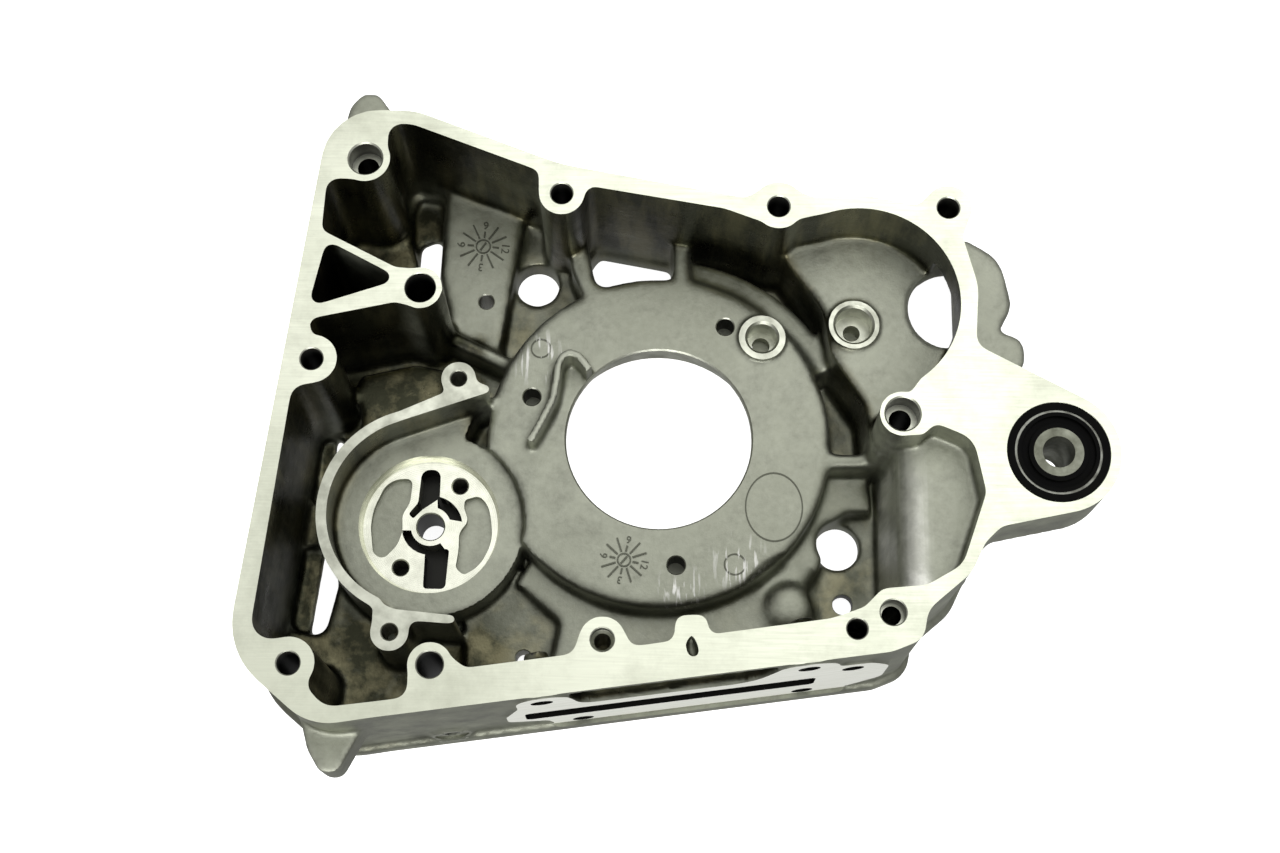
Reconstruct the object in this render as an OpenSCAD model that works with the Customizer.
// Crankcase half of a single-cylinder scooter engine, cover side up.
// One aluminium casting with its walls, floors, bosses and ribs, and the rubber bush
// that is pressed into its hanger ear. Heights are counted from the joint face, which
// is the flat underside, up to the machined cover face.

/* [Case] */
// Height from the joint face to the cover face
case_h = 60; // [58:1:66]
// Thickness of the lowest web between the walls
web_t = 5; // [4:0.5:6]
// Thickness of the lip round the joint face
joint_lip_t = 6; // [4:0.5:8]
// How far the joint face lip stands out of the side walls
joint_lip_out = 2.2; // [1:0.2:3]

/* [Floors, as depths below the cover face] */
// Raised disk round the crank bore
disk_drop = 35; // [32:1:36]
// Crescent ledge beside the disk
ledge_drop = 38; // [37:1:42]
// Round pocket at the upper right
pocket_drop = 24; // [22:1:28]
// Shallow pocket beside the hanger ear
side_drop = 12; // [10:1:16]
// Terrace between the disk and the lower wall
terrace_drop = 47; // [44:1:50]
// Lower left pocket beside the terrace
sump_drop = 51; // [50:0.5:52]
// Plate at the upper left
plate_drop = 46; // [44:1:49]
// Shelf above the pump
shelf_drop = 39; // [37:1:42]

/* [Crank bore] */
// Hole through the lip that keeps the bearing in
lip_hole_d = 60.6; // [58:0.2:64]
// Seat of the crank bearing
seat_d = 72; // [70:0.5:74]
// Width of the crank bearing
seat_w = 19; // [17:0.5:20]
// Set-back of the bearing seat from the joint face
seat_back = 3; // [2:0.5:4]
// Wall of the ring that carries the bearing
seat_wall = 6; // [5:0.5:8]
// Raised disk round the crank bore
disk_d = 112; // [108:1:114]
// Crank chamber in the joint face
chamber_d = 104; // [100:1:106]
// Depth of the crank chamber
chamber_depth = 14; // [12:0.5:15]

/* [Pump] */
// Pump centre along X
pump_x = -74; // [-75:0.5:-73]
// Pump centre along Y
pump_y = -28.7; // [-29.5:0.1:-28]
// Ring floor round the pump face
pump_ring_d = 61.6; // [60:0.2:63]
// Depth of the ring floor below the cover face
pump_drop = 39; // [38:0.5:41]
// Height of the curved guard wall above the ring floor
guard_h = 20; // [16:1:24]
// Thickness of the guard wall
guard_t = 3.3; // [3:0.1:4]
// Machined pump face
pump_face_d = 43.8; // [42:0.2:45]
// Depth of the pump face below the ring floor
pump_face_drop = 4; // [3:0.5:5]
// Hole for the pump shaft
pump_shaft_d = 8.8; // [8:0.2:10]
// Distance of the two pump screws from the shaft
pump_screw_r = 16.5; // [16:0.1:17]
// Tapped hole for an M6 screw, at its thread crest
tapped_d = 5.1; // [5:0.1:5.6]

/* [Right pocket] */
// Pocket centre along X
pocket_x = 63; // [62:0.5:64]
// Pocket centre along Y
pocket_y = 35.8; // [35:0.2:37]
// Diameter of the pocket
pocket_d = 62.4; // [61:0.2:63]
// Opening through the pocket floor
opening_d = 27; // [25:0.5:28]
// Bearing boss in the middle of the pocket
stub_d = 16.2; // [15:0.2:18]
// Bore of that boss
stub_bore_d = 12; // [10:0.2:13]
// Depth of that bore
stub_depth = 9; // [7:0.5:10]

/* [Cover bolts and dowels] */
// Bolt hole in the cover face
bolt_d = 7; // [6.4:0.1:7.4]
// Boss round a bolt hole
boss_d = 14.6; // [14:0.2:16]
// Dowel counterbore
dowel_d = 10.6; // [10:0.1:11]
// Depth of a dowel counterbore
dowel_depth = 8; // [6:0.5:10]
// Large core hole at the tip of the triangle
core_hole_d = 9.7; // [9:0.1:10]

/* [Hanger bush] */
// Bush centre along X
bush_x = 122.5; // [120:0.5:124]
// Bush centre along Y
bush_y = -12.9; // [-14:0.1:-12]
// Outer diameter of the bush and bore of the ear
bush_d = 31.4; // [30:0.2:32]
// Metal left round the bush
ear_wall = 3.6; // [3.2:0.1:4.2]
// Thickness of the ear
ear_t = 24; // [20:1:28]
// Steel ring inside the rubber, outside diameter
ring_d = 27; // [26:0.2:28]
// Wall of that steel ring
ring_t = 0.8; // [0.6:0.1:1]
// Inner steel sleeve, outside diameter
sleeve_d = 15.4; // [15:0.1:16]
// Bore of the inner sleeve, for a 10 mm bolt
sleeve_bore_d = 10; // [9.8:0.1:10.4]
// How far the inner sleeve stands out below the ear
sleeve_out = 2; // [1:0.5:4]

/* [Side flange] */
// Thickness of the flange in front of the side wall
flange_out = 0.8; // [0.6:0.1:2]
// Length of the slot in the flange
slot_l = 91; // [86:1:94]
// Height of the slot
slot_h = 12; // [10:0.5:14]
// Depth of the slot into the wall
slot_depth = 9; // [6:0.5:10]
// Bolt hole of the flange
flange_bolt_d = 6.8; // [6:0.1:7.4]

/* [Hidden] */
$fn = 64;
eps = 0.5;

// Corner and circle segments of the rounded outlines
corner_n = 6;

// Heights above the joint face
z_disk = case_h - disk_drop;
z_ledge = case_h - ledge_drop;
z_pocket = case_h - pocket_drop;
z_side = case_h - side_drop;
z_terrace = case_h - terrace_drop;
z_sump = case_h - sump_drop;
z_plate = case_h - plate_drop;
z_shelf = case_h - shelf_drop;
z_ring = case_h - pump_drop;
z_guard = z_ring + guard_h;
z_ear = case_h - ear_t;
z_face = z_ring - pump_face_drop;

pump = [pump_x, pump_y];
pocket = [pocket_x, pocket_y];
bush = [bush_x, bush_y];
opening = pocket + [31.5, 6.5];
boss_r = boss_d / 2;
ear_r = bush_d / 2 + ear_wall;

// Bolt and dowel places on the cover face
dowel_a = [-95.4, 82.1];
bolt_a = [-32.1, 70.8];
bolt_b = [37.2, 67.3];
bolt_c = [91.2, 67.5];
dowel_b = [75, -1.3];
bolt_i = [70.6, -63.5];
bolt_j = [59.7, -68.6];
bolt_e = [-16.4, -72.9];
bolt_f = [-67.5, -81.1];
bolt_g = [-109.6, -81.2];
bolt_h = [-108.5, 14.1];
core_hole = [-75.8, 38.1];

// Side flange: the lower edge of the cover face rises by this angle
side_angle = 8;
side_y = -85.2;

function unit(v) = v / norm(v);
function polar(r, a) = [r * cos(a), r * sin(a)];
function radius_of(p) = len(p) > 2 ? p[2] : 0;
function flat(p) = [p[0], p[1]];

// Points of an arc, counted with or against the clock
function arc(centre, r, from, to, n = 8) =
    [for (i = [0 : n]) centre + polar(r, from + (to - from) * i / n)];

// One corner at p between a and b, rounded with radius r
function round_corner(a, p, b, r) =
    let (
        u = unit(a - p),
        v = unit(b - p),
        half = acos(u * v) / 2,
        start = p + u * r / tan(half),
        end = p + v * r / tan(half),
        centre = p + unit(u + v) * r / sin(half),
        from = atan2(start[1] - centre[1], start[0] - centre[0]),
        raw = atan2(end[1] - centre[1], end[0] - centre[0]) - from,
        sweep = raw > 180 ? raw - 360 : raw < -180 ? raw + 360 : raw
    )
    arc(centre, r, from, from + sweep, corner_n);

// A closed outline from corners [x, y, radius]; a corner with no radius stays sharp
function rounded(c) =
    let (n = len(c))
    [for (i = [0 : n - 1])
        each radius_of(c[i]) > 0
            ? round_corner(flat(c[(i + n - 1) % n]), flat(c[i]), flat(c[(i + 1) % n]), c[i][2])
            : [flat(c[i])]];

// A strip of width w along a line of points
function side_normal(p, i) =
    let (
        a = p[max(i - 1, 0)],
        b = p[min(i + 1, len(p) - 1)],
        d = unit(b - a)
    )
    [-d[1], d[0]];
function ribbon(p, w) = concat(
    [for (i = [0 : len(p) - 1]) p[i] + side_normal(p, i) * w / 2],
    [for (i = [len(p) - 1 : -1 : 0]) p[i] - side_normal(p, i) * w / 2]);

// Outline of the cover face
case_outline = rounded(concat(
    [[-107.5, 99.5, 18], [-80, 99, 22], [-33, 81, 60], [27, 69.9, 6]],
    arc(bolt_b, boss_r + 1, 140, 40),
    [[47.6, 70.5, 6], [66, 71.2, 18], [81.5, 67.9, 4]],
    arc(bolt_c, boss_r + 0.3, 150, -35),
    [[95.4, 57.6, 4], [99.8, 41, 20], [98.4, 21.5, 5]],
    arc(bush, ear_r, 63, -81, 16),
    [[104, -36.6, 5], [99, -41.5, 5], [94.5, -51, 10], [81, -62.5, 8],
     [79.5, -71.5, 6], [70, -75.4, 6], [-85, -97.2, 60], [-102, -100, 18],
     [-128.5, -78, 24]]));

// Inner edge of the cover face, round every boss that reaches it
cavity_outline = rounded(concat(
    [[-107.3, 75.2, 4]],
    arc(dowel_a, 8, -115, 30),
    [[-88.6, 94.8, 4.5], [-80.5, 94.2, 8], [-39.6, 78.6, 3]],
    arc(bolt_a, boss_r, 180, 350),
    [[-24, 73.6, 3], [20, 66.3, 8]],
    arc(bolt_b, boss_r + 0.3, 225, 305),
    [[43.5, 63, 3]],
    arc(pocket, pocket_d / 2, 110, -55, 24),
    arc(dowel_b, boss_r, 70, 290),
    [[81, -8, 2], [85, -4.2, 3], [96.5, -9, 8], [99.8, -26, 5],
     [92, -48.5, 8], [81, -55, 6], [67.5, -56.3, 4], [62, -62, 4],
     [52, -65.6, 6], [15.6, -71, 2.5], [14.6, -64.9, 3], [5.4, -65.4, 3],
     [5, -73, 3], [-7.5, -74.9, 3]],
    arc(bolt_e, boss_r - 0.3, 20, 165),
    [[-25, -77.4, 4], [-57, -82, 4]],
    arc(bolt_f, boss_r - 0.5, 20, 200),
    [[-73.8, -91, 4], [-98, -94.2, 7], [-103, -89, 3]],
    arc(bolt_g, boss_r + 0.7, -38, 110),
    [[-122, -75.2, 6], [-114, 5.2, 5]],
    arc(bolt_h, boss_r + 0.7, -85, 92),
    [[-110.4, 27.2, 2.5], [-83.5, 33.2, 3]],
    arc(core_hole, core_hole_d / 2 + 2.2, -125, 115),
    [[-84, 44.9, 3], [-108, 57.2, 2.5]]));

triangle_core = rounded([[-106.2, 53.8, 2.6], [-81.8, 41, 2.4], [-110.8, 31, 2.6]]);
notch = [[10, -70.4], [8.4, -74], [9.2, -77.9], [12.9, -77.7], [11.9, -73.6]];

// Floor regions
ledge_sector = [[0, 0], polar(90, 84), polar(110, 60), polar(90, 24)];
pocket_floor = rounded([[38, 66], [41, 58.5, 12], [52.7, 42, 14], [55.5, 26.5, 8],
    [66.3, 9.4, 6], [67.6, -6], [70, -8.4], [81, -7.6], [97, 10], [99, 60], [80, 70], [50, 70]]);
terrace = rounded([[-46, -46], [-31.2, -58.8, 2], [-33.5, -70, 3], [-33.5, -84], [49, -74],
    [51, -55, 2], [47.4, -47.5, 2], [53, -40, 3], [58, -24, 3], [62, -21], [70.5, -21],
    [69, -9], [50, -6], [30, -20], [0, -30], [-30, -20]]);
sump = [[-62.5, -50], [-61.8, -86], [-32, -86], [-30, -58], [-45, -40]];
plate = [[-74, 92], [-47, 80], [-53.4, 32], [-69.8, 38.6], [-75.2, 60.8]];
upper_floor = [[-54, 80], [-22, 80], [-22, 54], [-40, 38], [-54, 28]];
shelf = rounded([[-100.5, 21.5, 3], [-80.8, 26, 5], [-70, 24, 3], [-60, 10], [-66, -6], [-96.5, -6]]);
boss_bridge = [[-30.5, 68], [-30, 58.5], [-26.6, 51], [-20, 46], [-16, 50], [-22, 55], [-24.6, 68]];
j_path = [[-41.6, -4.5], [-36.9, 4.8], [-34.3, 11], [-33.4, 17], [-33, 22], [-31.6, 25],
    [-29.4, 26.2], [-26.8, 25.3], [-24.6, 22.8], [-21.8, 18.4]];

// Openings through the lowest web
upper_window = rounded([[-83.2, 75, 2], [-75.7, 78.4, 2], [-76.6, 50], [-84.5, 50], [-83.6, 66]]);
upper_recess = rounded([[-86.6, 86, 2], [-84.6, 92, 3], [-75.7, 91.4, 2], [-75.9, 74], [-84, 68], [-86.2, 76, 2]]);
top_slot = rounded([[-24.3, 67, 3], [-21, 71.8, 2], [3.8, 67.3, 2], [3.8, 50], [-18, 50]]);
left_window_a = rounded([[-114.4, -1], [-113.6, 3.8, 2], [-108, 5, 2], [-102.5, 0], [-106, -18, 1],
    [-115.8, -18, 1]]);
left_window_b = rounded([[-117.4, -33, 2], [-120.2, -61.6, 4], [-108.6, -62.4, 4], [-105, -46],
    [-107, -33, 1]]);
// Side of the left windows that goes right through; the rest stops at a thin lower web
left_through = [[-108.8, 10], [-108.8, -25], [-110.6, -36], [-113.8, -64], [-100, -64], [-100, 10]];

// Outside parts
lobe = rounded([[90, 76], [104.5, 75.5, 6], [116, 68.5, 14], [119.5, 51, 8], [114, 42.5, 1.5],
    [123, 39.5, 5.5], [123, 29, 5.5], [104, 22, 3], [90, 30]]);
lobe_h = 15;
lug_a = rounded([[-108, 90], [-105, 110, 6], [-101, 115, 4], [-95.5, 115, 3], [-86, 102], [-84, 90]]);
lug_b = rounded([[-110, -90], [-106, -104, 5], [-101.5, -111.3, 4.5], [-96.5, -111.3, 4], [-88, -95],
    [-86, -88]]);
lug_top_drop = 20;
lug_t = 15;

module at(p, z = 0)
{
    translate([p[0], p[1], z]) children();
}

// A plain hole of diameter d from height z0 up to z1
module hole(p, d, z0, z1)
{
    at(p, z0) cylinder(d = d, h = z1 - z0);
}

// A floor or block with outline c up to height z
module block(c, z)
{
    linear_extrude(z) intersection() {
        polygon(case_outline);
        polygon(c);
    }
}

// The side walls with their bosses, full height
module walls()
{
    linear_extrude(case_h) difference() {
        polygon(case_outline);
        polygon(cavity_outline);
    }
}

// The lip round the joint face, the lobe beside the pocket and the two lugs
module joint_lip()
{
    linear_extrude(joint_lip_t) offset(r = joint_lip_out, $fn = 32) polygon(case_outline);
    linear_extrude(lobe_h) polygon(lobe);
    translate([0, 0, case_h - lug_top_drop - lug_t]) {
        linear_extrude(lug_t) polygon(lug_a);
        linear_extrude(lug_t) polygon(lug_b);
    }
}

// Floors between the walls, from the lowest web up to the round pocket
module floors()
{
    linear_extrude(web_t) polygon(case_outline);
    difference() {
        cylinder(d = disk_d, h = z_disk);
        // the pump ring floor bites into the disk
        at(pump, z_ring) cylinder(d = pump_ring_d, h = z_disk);
    }
    linear_extrude(z_ledge) intersection() {
        circle(r = disk_d / 2 + 8);
        polygon(ledge_sector);
        polygon(case_outline);
    }
    block(pocket_floor, z_pocket);
    block(terrace, z_terrace);
    block(sump, z_sump);
    block(plate, z_plate);
    block(upper_floor, z_sump);
    block(shelf, z_shelf);
    block(boss_bridge, z_disk);
    // low dome on the terrace, and a rib from the core hole boss to the disk
    at([42.7, -53]) cylinder(d = 15, h = z_terrace + 3.5);
    linear_extrude(z_terrace + 6) polygon(ribbon([[-74, 38.4], [-64, 33.5], [-46, 25]], 5));
    // short ribs that tie the disk to the walls
    block([[4.2, 50], [9.8, 50], [9.8, 72], [4.2, 72]], z_disk);
    block([[50, -4.2], [50, -9.4], [70, -9], [70, -4.2]], z_disk);
    side_floor();
}

// Shallow pocket floor beside the ear, rounded down towards the disk
module side_floor()
{
    profile = rounded([[72, 0], [75, z_side, 9], [102, z_side], [102, 0]]);
    intersection() {
        translate([0, -2, 0]) rotate([90, 0, 0]) linear_extrude(62) polygon(profile);
        linear_extrude(case_h) polygon(case_outline);
    }
}

// Pump housing: round base, guard wall, its two screw bosses and the lower bar
module pump_housing()
{
    at(pump) cylinder(d = pump_ring_d, h = z_ring);
    at(pump) rotate([0, 0, 107.8]) rotate_extrude(angle = 140)
        translate([pump_ring_d / 2, 0]) square([guard_t, z_guard]);
    linear_extrude(z_guard) {
        polygon([pump + polar(pump_ring_d / 2 + guard_t / 2, 112),
            pump + polar(pump_ring_d / 2 + 0.1, 107), [-54.6, 11], [-54.6, 12.8], [-60, 14.6],
            [-70, 10.2], pump + polar(pump_ring_d / 2 + guard_t - 0.1, 107)]);
        translate([-64.8, 15.4]) circle(d = 11.2);
        translate([-82.9, -67.4]) circle(d = 12);
        polygon(rounded([[-87, -57.9], [-82, -60.2], [-62.8, -62, 1], [-62.8, -64.6, 1],
            [-76, -63.8, 2], [-77.4, -67], [-88.4, -67], [-88.4, -60, 1.5]]));
    }
}

// Machined pump face with its ports, channels and holes, cut into the base
module pump_cuts()
{
    at(pump, z_face) cylinder(d1 = pump_face_d, d2 = pump_face_d + 2, h = pump_face_drop + eps);
    at(pump, z_face) {
        // two shallow kidney ports
        translate([0, 0, -2.5]) linear_extrude(2.5 + eps) {
            polygon(rounded([[-18.2, -9.8, 2], [-20, 3, 8], [-14.6, 15.6, 6], [-6.4, 16.2, 3],
                [-7, 8, 2], [-9.4, 3.8, 2], [-9, -1.6, 2], [-10.6, -6.4, 2], [-14.6, -10.8, 1.5]]));
            polygon(rounded([[15.4, 10.6, 2], [10.8, 9.2, 2], [10.6, 6.6, 2], [12.2, 2, 2],
                [9.4, -1.8, 2], [9.4, -8, 2], [8.6, -13.6, 2], [11.4, -16, 1.5], [16.6, -12.8, 4],
                [20.2, -5, 6], [20, 1, 5], [18.6, 7.6, 3]]));
        }
        // deep channels above and below the shaft
        translate([0, 0, -8]) linear_extrude(8 + eps) {
            polygon(rounded([[-3.6, 19.2, 2.8], [2.6, 19.2, 2.8], [2.6, 9.6], [-3, 5.6], [-5.8, 2.6, 1],
                [-7.4, 4.2, 1], [-4.4, 8, 1]]));
            polygon(concat(arc([0, 0], 10.4, 66, 10), arc([0, 0], 6.6, 22, 60)));
            polygon(concat(arc([0, 0], 9.4, 188, 318), arc([0, 0], 6.4, 310, 192)));
            polygon(rounded([[-1.4, -7.4], [6.4, -7.4, 1], [5.6, -20.6, 1.6], [-1.6, -20.6, 1.2]]));
        }
    }
    hole(pump, pump_shaft_d, -eps, case_h);
    for (side = [-1, 1])
        hole(pump + side * polar(pump_screw_r, 56.5), tapped_d, z_face - 12, case_h);
    hole([-64.8, 15.4], tapped_d, z_guard - 16, z_guard + eps);
    hole([-82.9, -67.4], tapped_d, z_guard - 16, z_guard + eps);
}

// Rib shaped like a J on the disk, and the two machined ring bosses
module disk_details()
{
    translate([0, 0, z_disk - eps]) linear_extrude(10 + eps) polygon(ribbon(j_path, 2.6));
    at([33.8, 34.8]) cylinder(d = 15.3, h = z_disk + 1.4);
    at(pocket) cylinder(d = stub_d, h = z_pocket + 1.2);
}

// A flat-sided frame on the lower side wall: X along the wall, Y up, Z outwards
module on_side()
{
    translate([0, side_y, 0]) rotate([0, 0, side_angle]) rotate([90, 0, 0]) children();
}

// Bolted flange on the lower side wall
module side_flange()
{
    top = case_h - 1.2;
    on_side() translate([0, 0, -6]) linear_extrude(6 + flange_out) polygon(rounded([
        [-46.5, 30, 3], [-42, 44, 3], [-42.4, top, 7.4], [-27.2, top, 7.4], [-23, top - 18, 6],
        [30, top - 18.8, 12], [38.8, top, 7.4], [53.8, top, 7.4], [56, top - 10, 3],
        [66, top - 10.5, 5], [72, top - 19, 6], [72, 20, 8], [56, 2.4, 7.4], [-31, 2.4, 7.4],
        [-34, 15, 4], [-46.5, 21, 3]]));
    // seat of the drain screw
    on_side() translate([drain[0], drain[1], -4]) cylinder(d = 13.6, h = 4 + drain_out);
}

// The wall steps back between the flange and the cover face
module side_recess()
{
    on_side() translate([0, 0, -4]) linear_extrude(8)
        polygon([[-31, case_h - 26], [44, case_h - 26], [44, case_h - 4], [-31, case_h - 4]]);
}

drain = [-65.5, 11];
drain_out = 1.5;
flange_bolts = [[-34.8, case_h - 9], [46.3, case_h - 8.4], [-23.4, 10], [47.3, 10], [60.6, case_h - 18]];

module side_cuts()
{
    on_side() {
        translate([4.5, 27, -slot_depth]) linear_extrude(slot_depth + flange_out + eps)
            offset(r = 2, $fn = 24) square([slot_l - 4, slot_h - 4], center = true);
        for (p = flange_bolts)
            translate([p[0], p[1], -14]) cylinder(d = flange_bolt_d, h = 14 + flange_out + eps);
        translate([drain[0], drain[1], -12]) cylinder(d = 5, h = 20);
        translate([drain[0], drain[1], drain_out - 0.8]) cylinder(d = 11, h = 6);
    }
}

// Every hole that starts in the cover face
module cover_holes()
{
    for (p = [bolt_a, bolt_b, bolt_h, bolt_g])
        hole(p, bolt_d, -eps, case_h + eps);
    hole(bolt_c, bolt_d, case_h - 24, case_h + eps);
    hole(bolt_f, 8, -eps, case_h + eps);
    hole(bolt_j, 6.2, case_h - 40, case_h + eps);
    hole(bolt_e, 7, case_h - 3, case_h + eps);
    hole(bolt_e, tapped_d, case_h - 24, case_h);
    hole(bolt_i, 7.8, case_h - 6, case_h + eps);
    hole(bolt_i, 6, case_h - 34, case_h);
    for (p = [dowel_a, dowel_b]) {
        hole(p, dowel_d, case_h - dowel_depth, case_h + eps);
        hole(p, bolt_d, -eps, case_h);
    }
    hole(core_hole, core_hole_d, 8, case_h + eps);
    translate([0, 0, 8]) linear_extrude(case_h) polygon(triangle_core);
    translate([0, 0, case_h - 5]) linear_extrude(6) polygon(notch);
}

// Openings and small holes in the floors
module floor_holes()
{
    translate([0, 0, -eps]) linear_extrude(web_t + 12) polygon(upper_window);
    translate([0, 0, web_t - 3]) linear_extrude(9) polygon(upper_recess);
    for (c = [left_window_a, left_window_b]) {
        translate([0, 0, web_t - 3.6]) linear_extrude(9) polygon(c);
        translate([0, 0, -eps]) linear_extrude(web_t) intersection() {
            polygon(c);
            polygon(left_through);
        }
    }
    translate([0, 0, -eps]) linear_extrude(z_disk + 1) difference() {
        polygon(top_slot);
        circle(d = disk_d);
    }
    // this one also opens the outer wall, below a solid rim
    intersection() {
        hole(opening, opening_d, -eps, z_pocket + 9);
        translate([70, 20, -1]) cube([31, 50, case_h]);
    }
    hole([-42, 59], 14.6, -eps, z_disk);
    hole([59.5, -31.1], 14.8, -eps, z_disk);
    hole([61, -50.3], 6.6, -eps, z_disk);
    hole([-58.9, 50.6], tapped_d, -eps, z_disk);
    hole([-42.9, -70], tapped_d, -eps, z_disk);
    for (p = [[21.6, 38.8], [-41.8, 13.6], [6, -42.2]])
        hole(p, 5.8, z_disk - 10, z_disk + eps);
    hole([33.8, 34.8], 9.8, z_disk - 8, z_disk + 5);
    hole([33.8, 34.8], 6, z_disk - 12, z_disk);
    hole(pocket, stub_bore_d, z_pocket + 1.2 - stub_depth, z_pocket + 5);
    hole(pocket, 5.6, z_pocket - stub_depth - 6, z_pocket);
}

// Crank chamber, bearing seat and the hollows of the underside
module underside_cuts()
{
    seat_r = seat_d / 2;
    translate([0, 0, -eps]) difference() {
        cylinder(d = chamber_d, h = chamber_depth + eps);
        translate([0, 0, seat_back + eps]) cylinder(r = seat_r + seat_wall, h = case_h);
    }
    translate([0, 0, -eps]) cylinder(d = lip_hole_d, h = case_h);
    translate([0, 0, -eps]) cylinder(r = seat_r, h = seat_back + seat_w + eps);
    // behind the round pocket
    translate([0, 0, -eps]) linear_extrude(z_pocket - 6 + eps) difference() {
        intersection() {
            translate(pocket) circle(d = pocket_d - 8);
            polygon([[48, 70], [58.5, 44], [60.5, 28], [70, 14], [100, 14], [100, 70]]);
        }
        translate(pocket) circle(d = stub_d + 4);
    }
    // from there out to the side, past the opening
    translate([0, 0, -eps]) linear_extrude(z_pocket - 8 + eps)
        polygon(rounded([[76, 36], [80, 50, 6], [88, 64.5, 8], [101, 70.5], [101, 31], [84, 31, 4]]));
    // behind the shallow pocket
    translate([0, 0, -eps]) linear_extrude(z_side - 6 + eps)
        polygon(rounded([[80, -13, 4], [95.5, -15, 4], [95.8, -25, 4], [89, -44.5, 5], [80, -50, 4]]));
    // under the terrace, the plate and the shelf
    translate([0, 0, -eps]) linear_extrude(z_terrace - 5 + eps)
        polygon(rounded([[-26, -60.5, 3], [-25, -69, 3], [30, -63, 3], [37, -56.5, 3], [31, -53.5, 3],
            [10, -59.5, 8], [-10, -60.5, 8]]));
    translate([0, 0, -eps]) linear_extrude(z_plate - 5 + eps)
        polygon(rounded([[-71.5, 60, 3], [-71, 86, 4], [-52.5, 79, 4], [-54.5, 60, 3]]));
    translate([0, 0, -eps]) linear_extrude(z_shelf - 6 + eps)
        polygon(rounded([[-95, 9, 3], [-94.5, 19, 3], [-80, 22, 3], [-73, 20, 3], [-71, 9.5, 3], [-83, 8, 3]]));
}

// Room under the hanger ear
module ear_cut()
{
    translate([102.4, -60, -eps]) cube([60, 82, z_ear + eps]);
}

module crankcase_solid()
{
    difference() {
        union() {
            difference() {
                walls();
                side_recess();
            }
            floors();
            difference() {
                joint_lip();
                cavity_above_web();
            }
            pump_housing();
            disk_details();
            side_flange();
        }
        pump_cuts();
        cover_holes();
        floor_holes();
        underside_cuts();
        side_cuts();
        ear_cut();
        hole(bush, bush_d, -eps, case_h + eps);
    }
}

// The joint lip is only as high as the lowest web inside the walls
module cavity_above_web()
{
    translate([0, 0, web_t]) linear_extrude(case_h) polygon(cavity_outline);
}

module crankcase()
{
    color([0.66, 0.66, 0.6]) translate([0, 0, -seat_back]) crankcase_solid();
}

// Rubber of the hanger bush, bonded round the steel ring
module bush_rubber()
{
    color([0.06, 0.06, 0.07]) at(bush, z_ear - seat_back) difference() {
        cylinder(d = bush_d, h = ear_t);
        translate([0, 0, -eps]) cylinder(d = sleeve_d, h = ear_t + 2 * eps);
        translate([0, 0, 2]) difference() {
            cylinder(d = ring_d, h = ear_t);
            translate([0, 0, -eps]) cylinder(d = ring_d - 2 * ring_t, h = ear_t + 2 * eps);
        }
        // groove in the end face
        translate([0, 0, ear_t - 1.2]) difference() {
            cylinder(d = ring_d - 2 * ring_t - 2.4, h = 2);
            translate([0, 0, -eps]) cylinder(d = sleeve_d + 3, h = 3);
        }
    }
}

module bush_ring()
{
    color([0.5, 0.5, 0.5]) at(bush, z_ear - seat_back + 2) difference() {
        cylinder(d = ring_d, h = ear_t - 2.4);
        translate([0, 0, -eps]) cylinder(d = ring_d - 2 * ring_t, h = ear_t);
    }
}

module bush_sleeve()
{
    color([0.45, 0.45, 0.44]) at(bush, z_ear - seat_back - sleeve_out) difference() {
        cylinder(d = sleeve_d, h = ear_t + sleeve_out);
        translate([0, 0, -eps]) cylinder(d = sleeve_bore_d, h = ear_t + sleeve_out + 2 * eps);
    }
}

crankcase();
bush_rubber();
bush_ring();
bush_sleeve();
